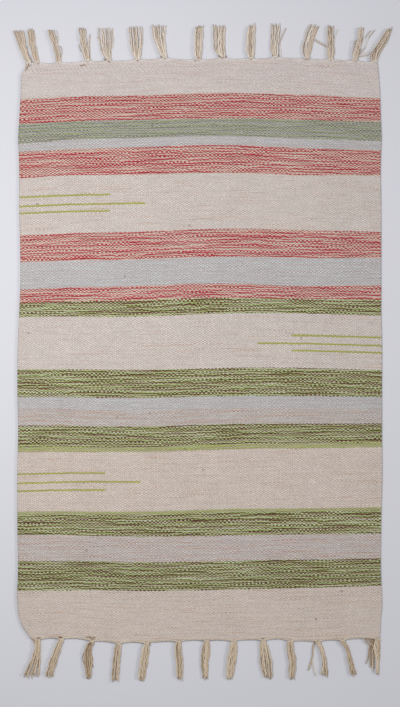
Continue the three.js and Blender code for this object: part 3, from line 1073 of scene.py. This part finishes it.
class Yarns:
    """Twisted yarns gathered into one mesh, with two maps: the place on a yarn, and its tone with
    how far out it lies."""

    def __init__(self):
        self.points, self.faces, self.yarn, self.strand = [], [], [], []
        self.count = 0

    def add(self, points, radius, tone, step=YARN_STEP, plies=YARN_PLIES, twist=YARN_TWIST,
            tip=YARN_TIP, out=None):
        path = smooth_path(points, step)
        side, up = across_path(path)
        rings, sides = len(path), 2 * plies
        run = run_along(path)
        around = np.arange(sides) / sides
        angle = 2 * np.pi * (around[None, :] + run[:, None] / twist + tone)
        thick = radius * (1 + PLY_DEPTH * np.cos(2 * np.pi * plies * around))[None, :]
        thick = thick * np.interp(run, (0, run[-1] - TIP_LENGTH, run[-1]), (1, 1, tip))[:, None]
        ring = np.cos(angle)[..., None] * side[:, None] + np.sin(angle)[..., None] * up[:, None]
        points = path[:, None] + thick[..., None] * ring
        points[..., 2] = np.maximum(points[..., 2], FLOOR_GAP)
        base = self.count + np.arange(rings * sides).reshape(rings, sides)
        looped = np.concatenate([base, base[:, :1]], axis=1)
        self.points.append(points.reshape(-1, 3))
        self.faces.append(np.array(quads(looped)))
        caps = []
        for end in (base[0][::-1], base[-1]):
            for k in range(1, sides - 2, 2):
                caps.append((end[0], end[k], end[k + 1], end[k + 2]))
        self.faces.append(np.array(caps))
        turn, far = np.meshgrid(np.arange(sides + 1) / sides, run / YARN_MAP_LENGTH)
        grid = np.arange(turn.size).reshape(turn.shape)
        places = np.stack([turn.ravel(), far.ravel()], axis=1)
        self.yarn.append(places[np.array(quads(grid))].reshape(-1, 2))
        self.yarn.append(np.full((FACE_CORNERS * len(caps), 2), (0.5, far[-1, 0])))
        share = np.full(rings, 0.5) if out is None else np.clip(out(path) / YARN_REACH, 0, 1)
        reached = np.concatenate([np.repeat(share[:-1], sides), np.full(len(caps), share[-1])])
        tones = np.full(len(reached), tone)
        strand = np.stack([tones, reached], axis=1)
        self.strand.append(np.repeat(strand, FACE_CORNERS, axis=0))
        self.count += rings * sides

    def piece(self, name, material):
        piece = make_object(name, np.concatenate(self.points), np.concatenate(self.faces).tolist())
        for layer, places in (("yarn", self.yarn), ("strand", self.strand)):
            layer = piece.data.uv_layers.new(name=layer)
            layer.uv.foreach_set("vector", np.concatenate(places).ravel())
        piece.data.materials.append(material)
        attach(piece, "root")
        return piece


def distance_out(path, far):
    """How far the points of a path lie beyond the cloth."""
    return path[:, 1] - far_end_y(path[:, 0]) if far else near_end_y(path[:, 0]) - path[:, 1]


def outward(points, root, far):
    """Points given as (across, out from the edge, height) beside a root, in the rug's frame."""
    points = np.array(points, float)
    points[:, 0] += root
    hug = np.clip(1 - points[:, 1] / HUG_LENGTH, 0, 1)
    across = root + hug * (points[:, 0] - root)
    points[:, 1] = far_end_y(across) + points[:, 1] if far else near_end_y(across) - points[:, 1]
    return points


def faded(out, fade):
    """Rises from nought to one, from a place out from the cloth, over a length."""
    start, length = fade
    return min(1, (out - start) / length)


def gathered_part(start, at_knot, layer):
    """A warp end from the cloth's edge through the knot."""
    points = [(start, out, height) for out, height in WARP_START]
    if abs(start) > GATHER_BEYOND:
        middle = start * 0.5 + at_knot * 0.5
        points.append((middle, GATHER_STEP * (layer - 1), GATHER_HEIGHT + GATHER_RISE * layer))
    low = LAYER_HEIGHT + LAYER_RISE * layer
    return points + [(at_knot * share, out, low) for share, out in KNOT_PASS]


def free_part(rank, layer, left, right, length, clumping, draws):
    """A warp end beyond the knot, between the sides of its bundle."""
    stations = (KNOT_STATION,) + STATIONS
    low = LAYER_HEIGHT + LAYER_RISE * layer
    end = length + draws.normal(0, LENGTH_SPREAD)
    lock = (math.floor(rank * LOCKS) + 0.5) / LOCKS
    drift = draws.normal(0, PLACE_SPREAD)
    phase = draws.uniform(0, 1, 3)
    sway = draws.uniform(*SWAYS)
    points = []
    for out in np.arange(FREE_FROM, end, FREE_STEP).tolist() + [end]:
        waves = []
        for wave_length, start in zip(SWAY_LENGTHS, phase):
            waves.append(math.sin(2 * math.pi * (out / wave_length + start)))
        place = rank + faded(out, LOCK_FADE) * (clumping * (lock - rank) + drift)
        edge_left = float(smooth_line(stations, left, out)) + YARN_INSET
        edge_right = float(smooth_line(stations, right, out)) - YARN_INSET
        x = edge_left + (edge_right - edge_left) * place
        x += sway * (waves[0] + SECOND_SWAY * waves[1]) * faded(out, SWAY_FADE)
        z = low + (FREE_HEIGHT + FREE_RISE * layer - low) * faded(out, SETTLE_FADE)
        points.append((x, out, max(z + HEIGHT_SWAY * waves[2], LOWEST)))
    return points


def knot_turn(turn):
    """One turn of yarn round the knot."""
    out = KNOT_OUT + KNOT_SPACING * turn
    points = []
    for angle in np.linspace(KNOT_FROM, KNOT_TO, KNOT_POINTS):
        from_end = min(angle - KNOT_FROM, KNOT_TO - angle)
        tuck = TUCK + (1 - TUCK) * min(1, from_end / TUCK_ANGLE)
        x = KNOT_HALF_WIDTH * tuck * math.cos(angle)
        z = KNOT_MIDDLE + KNOT_HALF_HEIGHT * tuck * math.sin(angle)
        points.append((x, out + KNOT_SLANT * math.cos(angle), max(z, LOWEST)))
    return points


def tassel_piece(name, far, row, reach, length, strays, material, draws):
    """One knotted bundle of warp ends: gathered along the edge, knotted, then hanging free."""
    root, count, shade = row[:3]
    left = [-KNOT_HALF_WIDTH - YARN_INSET] + [sides[0] for sides in row[3:]]
    right = [KNOT_HALF_WIDTH + YARN_INSET] + [sides[1] for sides in row[3:]]
    layer_shade_and_tone = FAR_LAYER_SHADE_AND_TONE if far else NEAR_LAYER_SHADE_AND_TONE
    clumping = FAR_CLUMPING if far else NEAR_CLUMPING
    yarns = Yarns()

    def lay(points, tone, tip):
        yarns.add(outward(points, root, far), YARN_RADIUS, tone, tip=tip,
                  out=lambda path: distance_out(path, far))

    order = draws.permutation(count)
    for number in range(count):
        rank = (number + 0.5) / count
        layer = order[number] % LAYERS
        start = reach[0] + (reach[1] - reach[0]) * rank - root
        at_knot = (rank - 0.5) * 2 * KNOT_HALF_WIDTH * KNOT_PACKING
        points = gathered_part(start, at_knot, layer)
        points += free_part(rank, layer, left, right, length, clumping, draws)
        # lower layers take a darker tone as painted shade, plus a random tone of their own
        lay(points, shade + layer_shade_and_tone * (1 - layer + draws.uniform(-0.5, 0.5)), YARN_TIP)
    for turn in range(KNOT_TURNS):
        lay(knot_turn(turn), draws.uniform(*KNOT_TONES), KNOT_TIP)
    for tone, low, high, *places in strays:
        heights = np.linspace(low, high, len(places))
        points = [(x, out, z) for (x, out), z in zip(places, heights)]
        yarns.add(outward(points, root, far), STRAY_RADIUS, tone)
    return yarns.piece(name, material)


# Warp cotton: slow changes along a yarn, then zones of colour by tone and by distance from the
# cloth, each from, to, and its share at both
YARN_CHANGE = (9.0, 61.0, 0.0, 2.0)
YARN_SWING = 0.7
KNOT_ZONE = (0.0, 0.07, 0.85, 0.0)
# the edge zone is painted light on the yarns within a millimetre or two of the cloth's edge
EDGE_PAINTED_LIGHT_ZONE = (0.008, 0.02, 1.0, 0.0)
# tones above 1 go dark brown, a painted shadow under knots, folds and crossing strands
TUCK_SHADOW_ZONE = (1.0, 1.5, 0.0, 1.0)
FIBRES_AROUND = 14.0
FIBRES_ALONG = 70.0
FIBRE_NOISE = (1.0, 2.0)
# painted shade in the grooves between the three plies
PLY_GROOVE_SHADE = (0.05, 0.95)
FIBRE_TONE = (0.2, 0.9)
YARN_NOISE = (1800.0, 3.0)
YARN_RELIEF = 0.3
YARN_STRENGTH = 0.6


def twisted_cotton():
    """Undyed warp cotton, twisted from three plies, each yarn a little different."""
    f = Finish("twisted_warp_cotton", roughness=0.93, sheen=0.15)
    around, along = f.map("yarn")
    tone, out = f.map("strand")
    change = f.minus(f.slow_change(along, tone, YARN_CHANGE), 0.5)
    mixing = f.range(f.scale(change, YARN_SWING, tone), 0.0, 1.0, 0.0, 1.0)
    colour = f.mix(mixing, linear(YARN_LIGHT), linear(YARN_DARK))
    colour = f.mix(f.range(out, *KNOT_ZONE), colour, linear(KNOT_COLOUR))
    # painted light on the yarns that lie along the cloth's edge
    colour = f.mix(f.range(out, *EDGE_PAINTED_LIGHT_ZONE), colour, linear(EDGE_PAINTED_LIGHT))
    # painted shadow: dark brown for tones above 1
    colour = f.mix(f.range(tone, *TUCK_SHADOW_ZONE), colour, linear(TUCK_SHADOW_COLOUR))
    at = f.point(f.times(around, FIBRES_AROUND), f.times(along, FIBRES_ALONG), tone)
    fibres = f.noise(at, *FIBRE_NOISE)
    # painted shade in the grooves between the plies
    shade = f.scale(f.wave(around, YARN_PLIES), *PLY_GROOVE_SHADE)
    f.colour_by(f.aged(colour), f.vary(shade, fibres, FIBRE_TONE))
    fuzz = f.noise(f.place(), *YARN_NOISE)
    f.raise_by(f.plus(fibres, fuzz), YARN_RELIEF * MM, YARN_STRENGTH)
    return f.material


HEADING_PACE = 9.0
HEADING_DRAW = 3.0
HEADING_NOISE = (1.0, 3.0)
HEADING_ZONE = (0.3, 0.7, 0.0, 1.0)
# painted shade in the grooves between the heading's two plies
HEADING_GROOVE_SHADE = (0.10, 0.90)
HEADING_STRENGTH = 0.7


def heading_cotton():
    """The twined weft that closes each end: two warm cream plies."""
    f = Finish("twined_heading_cotton", roughness=0.93, sheen=0.15)
    around, along = f.map("yarn")
    change = f.noise(f.point(f.times(along, HEADING_PACE), HEADING_DRAW), *HEADING_NOISE)
    colour = f.mix(f.range(change, *HEADING_ZONE), linear(HEADING_LIGHT), linear(HEADING_DARK))
    fuzz = f.noise(f.place(), *FUZZ_NOISE)
    # painted shade in the grooves between the plies
    shade = f.scale(f.wave(around, HEADING_PLIES), *HEADING_GROOVE_SHADE)
    f.colour_by(f.aged(colour), f.vary(shade, fuzz, FIBRE_TONE))
    f.raise_by(fuzz, YARN_RELIEF * MM, HEADING_STRENGTH)
    return f.material


def heading_piece(name, far, material):
    """Two twined cords lying along the last picks of one end."""
    yarns = Yarns()
    for inset, height in HEADING_CORDS:
        picks = inset / PICK_PITCH
        line = PICKS - picks if far else picks
        warps = np.linspace(HEADING_INSET, WARPS - HEADING_INSET, HEADING_POINTS)
        x, y = cloth_point(warps, np.full(len(warps), line))
        z = height + wave_height(x, y) * min(1, inset / EDGE_RISE)
        yarns.add(np.stack([x, y, z], axis=1), HEADING_RADIUS, 0.5,
                  step=HEADING_STEP, plies=HEADING_PLIES, twist=HEADING_TWIST)
    piece = yarns.piece(name, material)
    return piece


def tassel_pieces(end, far, rows, strays, material, draws):
    """All tassels of one end. Each gathers the warp ends up to halfway to its neighbours."""
    line = np.full(2, PICKS if far else 0)
    corners = cloth_point(np.array([FRINGE_INSET, WARPS - FRINGE_INSET]), line)[0]
    roots = column(rows, 0)
    middles = [(a + b) / 2 for a, b in zip(roots, roots[1:])]
    reaches = zip([corners[0]] + middles, middles + [corners[1]])
    pieces = []
    for number, (row, reach) in enumerate(zip(rows, reaches), start=1):
        name = f"{end}_tassel_{number:02d}"
        length = FAR_LENGTH if far else NEAR_LENGTH - NEAR_TRIMMED.get(number, 0)
        own_strays = [stray[1:] for stray in strays if stray[0] == number]
        piece = tassel_piece(f"{name}_yarns", far, row, reach, length, own_strays, material, draws)
        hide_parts(name)
        pieces.append(piece)
    return pieces


cloth = make_cloth()
cloth.data.materials.append(weft_faced_cotton())
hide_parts("cloth")
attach(cloth, "root")

SEED = 7
draws = np.random.default_rng(SEED)
heading_material, yarn_material = heading_cotton(), twisted_cotton()
fringe = [heading_piece("far_heading", True, heading_material)]
fringe += tassel_pieces("far", True, FAR_TASSELS, FAR_STRAYS, yarn_material, draws)
fringe.append(heading_piece("near_heading", False, heading_material))
fringe += tassel_pieces("near", False, NEAR_TASSELS, NEAR_STRAYS, yarn_material, draws)

# The floor lies just under the rug
FLOOR_SIZE = 8
FLOOR_DROP = 0.4
bpy.ops.mesh.primitive_plane_add(size=FLOOR_SIZE, location=(0, 0, -FLOOR_DROP * MM))
floor = bpy.context.object
floor.name = "floor"
floor.data.materials.append(pale_floor())

# Camera straight above the rug, as far back as a long lens needs. The view's height is that of the
# photograph, in pixels times the size of a pixel on the rug
PHOTO_HEIGHT = 707
PIXEL = 2.56
LENS = 160
SENSOR = 36
CLIP_END = 60
CAMERA_ACROSS = 0.6
CAMERA_ALONG = -7.7
camera_data = bpy.data.cameras.new("camera")
camera_data.lens = LENS
camera_data.sensor_width = SENSOR
camera_data.clip_end = CLIP_END
camera = bpy.data.objects.new("camera", camera_data)
distance = PHOTO_HEIGHT * PIXEL * LENS / SENSOR
camera.location = (CAMERA_ACROSS * MM, CAMERA_ALONG * MM, distance * MM)
bpy.context.collection.objects.link(camera)
bpy.context.scene.camera = camera

# Soft lights: name, place, size, power, colour
LIGHTS = [
    ("key", (-0.66, 0.36, 1.7), 0.9, 21.1, (1, 0.995, 0.98)),
    ("low", (8, 0.6, 4.4), 2.4, 250, (1, 0.98, 0.96)),
]
ROOM_COLOUR = (0.95, 0.97, 1, 1)
ROOM_STRENGTH = 0.43
for name, place, size, power, colour in LIGHTS:
    lamp = bpy.data.lights.new(name, "AREA")
    lamp.shape = "DISK"
    lamp.size = size
    lamp.energy = power
    lamp.color = colour
    light = bpy.data.objects.new(name, lamp)
    light.location = place
    light.rotation_mode = "QUATERNION"
    light.rotation_quaternion = light.location.to_track_quat("Z", "Y")
    bpy.context.collection.objects.link(light)
world = bpy.data.worlds.new("studio")
bpy.context.scene.world = world
world.use_nodes = True
room = world.node_tree.nodes["Background"]
room.inputs["Color"].default_value = ROOM_COLOUR
room.inputs["Strength"].default_value = ROOM_STRENGTH
bpy.context.scene.view_settings.view_transform = "Standard"
